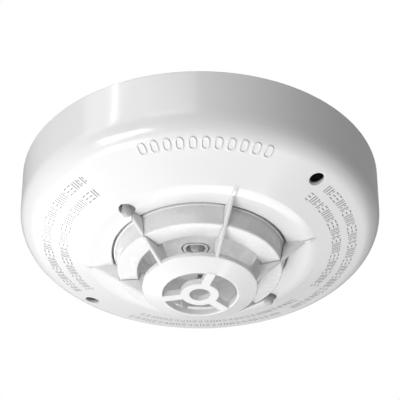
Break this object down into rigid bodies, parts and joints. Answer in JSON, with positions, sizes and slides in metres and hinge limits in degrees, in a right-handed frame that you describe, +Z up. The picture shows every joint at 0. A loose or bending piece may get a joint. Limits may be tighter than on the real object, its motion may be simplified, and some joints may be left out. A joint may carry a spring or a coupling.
{
  "type": "heat detector",
  "caption": "Round ceiling-mounted point heat detector with a finned guard over its thermistor, on a twist-lock base with sprung lock pins.",
  "frame": {"origin": "centre of the base's flat ceiling face", "axes": "+Z up, out of the ceiling face; the detector hangs towards -Z. +X and +Y run along the two pairs of fixing slots"},
  "size_m": [0.1, 0.1, 0.0375],
  "materials": {
    "cover_plastic": "glossy neutral white moulded ABS",
    "housing_plastic": "glossy neutral white moulded ABS",
    "collar_plastic": "satin off-white plastic",
    "base_plastic": "satin off-white plastic",
    "pin_plastic": "light grey acetal",
    "black_plastic": "black moulded epoxy",
    "board_green": "green solder mask",
    "clear_lamp": "clear epoxy lamp body",
    "thermistor_bead": "epoxy-coated bead",
    "brass": "plain brass strip",
    "plated_steel": "zinc-plated steel",
    "spring_steel": "drawn spring wire",
    "can_aluminium": "satin aluminium can",
    "chip_ceramic": "tan ceramic chip"
  },
  "bodies": {
    "base": {"base_plate": "base_plastic", "terminal_strips": "brass", "clamp_plates": "plated_steel", "terminal_screws": "plated_steel", "spring_caps": "base_plastic", "lock_spring_a": "spring_steel", "lock_spring_b": "spring_steel"},
    "head": {"outer_cover": "cover_plastic", "sensor_housing": "housing_plastic", "thermistor_collar": "collar_plastic", "sensing_thermistor": "thermistor_bead", "status_lamps": "clear_lamp", "lamp_spacers": "black_plastic", "lamp_leads": "plated_steel", "rear_chassis": "base_plastic", "contact_blades": "brass", "cover_screws": "plated_steel", "board_screws": "plated_steel", "circuit_board": "board_green", "controller_chip": "black_plastic", "chip_pins": "plated_steel", "bridge_rectifier": "black_plastic", "smoothing_capacitor": "can_aluminium", "chip_resistors": "black_plastic", "chip_capacitors": "chip_ceramic", "transistors": "black_plastic", "reference_thermistor": "thermistor_bead"},
    "lock_a": {"lock_pin_a": "pin_plastic"},
    "lock_b": {"lock_pin_b": "pin_plastic"}
  },
  "joints": [
    {"name": "head_twist", "type": "hinge", "parent": "base", "child": "head", "pos_m": [0, 0, 0], "axis": [0, 0, 1], "range_deg": [-30, 0]},
    {"name": "lock_a_lift", "type": "slide", "parent": "base", "child": "lock_a", "axis": [0, 0, 1], "range_m": [0, 0.002], "stiffness_N_per_m": 150, "springref_m": -0.002, "deforming": ["lock_spring_a"]},
    {"name": "lock_b_lift", "type": "slide", "parent": "base", "child": "lock_b", "axis": [0, 0, 1], "range_m": [0, 0.002], "stiffness_N_per_m": 150, "springref_m": -0.002, "deforming": ["lock_spring_b"]}
  ]
}
